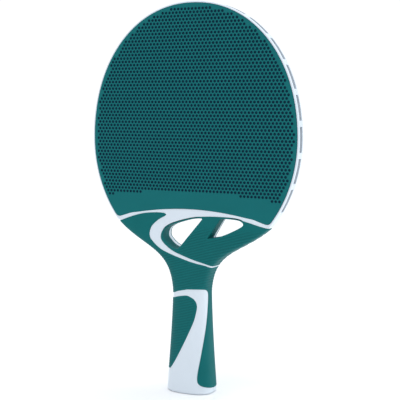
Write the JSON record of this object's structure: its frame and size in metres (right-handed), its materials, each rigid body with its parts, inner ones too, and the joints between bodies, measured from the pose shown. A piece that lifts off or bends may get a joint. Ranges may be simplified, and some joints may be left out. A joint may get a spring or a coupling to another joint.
{
  "type": "table tennis bat",
  "caption": "Outdoor table tennis bat with a white two-half core, dimpled green playing faces and a contoured soft-grip handle with an open throat.",
  "frame": {"origin": "middle of the butt face, on the plane that the bat stands on", "axes": "+Z from the butt to the tip of the blade, -Y out of the front face, +X to the right seen from the front"},
  "size_m": [0.1536, 0.0244, 0.26],
  "materials": {
    "core": "satin white moulded composite",
    "pad": "matt soft-touch elastomer, finely dimpled",
    "grip": "matt soft-touch elastomer, finely ribbed"
  },
  "bodies": {
    "root": {"front_shell": "core", "rear_shell": "core", "front_pad": "pad", "rear_pad": "pad", "throat_grip": "grip", "neck_grip": "grip", "palm_grip": "grip"}
  },
  "joints": []
}
